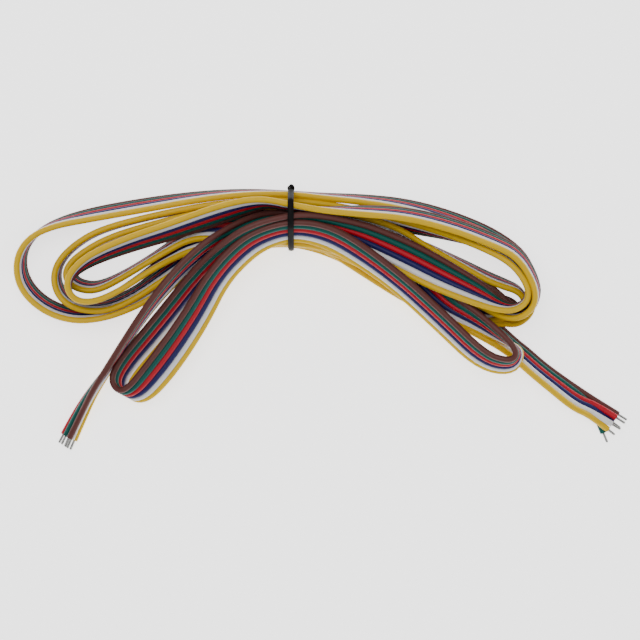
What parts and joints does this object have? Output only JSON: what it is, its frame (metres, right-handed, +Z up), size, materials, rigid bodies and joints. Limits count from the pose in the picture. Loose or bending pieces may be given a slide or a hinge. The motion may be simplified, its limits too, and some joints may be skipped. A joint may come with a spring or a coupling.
{
  "type": "flat ribbon cable bundle",
  "caption": "Flat ribbon cable of coloured insulated wires, folded to and fro into a bundle, held by a black tie, with stripped and tinned ends.",
  "frame": {"origin": "centre of the bundle's footprint, on the surface it lies on", "axes": "+Z up, +X along the bundle from the tail on the left to the tail on the right, +Y towards the back, where the tie's knot is"},
  "size_m": [0.1849, 0.0814, 0.0237],
  "materials": {
    "brown_insulation": "soft PVC, satin brown",
    "green_insulation": "soft PVC, satin green",
    "red_insulation": "soft PVC, satin red",
    "blue_insulation": "soft PVC, satin dark blue",
    "white_insulation": "soft PVC, satin white",
    "yellow_insulation": "soft PVC, satin yellow",
    "tinned_copper": "stranded copper, dipped in solder",
    "tie_plastic": "black plastic-coated tie"
  },
  "bodies": {
    "root": {"brown_wire": "brown_insulation", "green_wire": "green_insulation", "red_wire": "red_insulation", "blue_wire": "blue_insulation", "white_wire": "white_insulation", "yellow_wire": "yellow_insulation", "brown_conductor": "tinned_copper", "green_conductor": "tinned_copper", "red_conductor": "tinned_copper", "blue_conductor": "tinned_copper", "white_conductor": "tinned_copper", "yellow_conductor": "tinned_copper", "tie": "tie_plastic"}
  },
  "joints": []
}
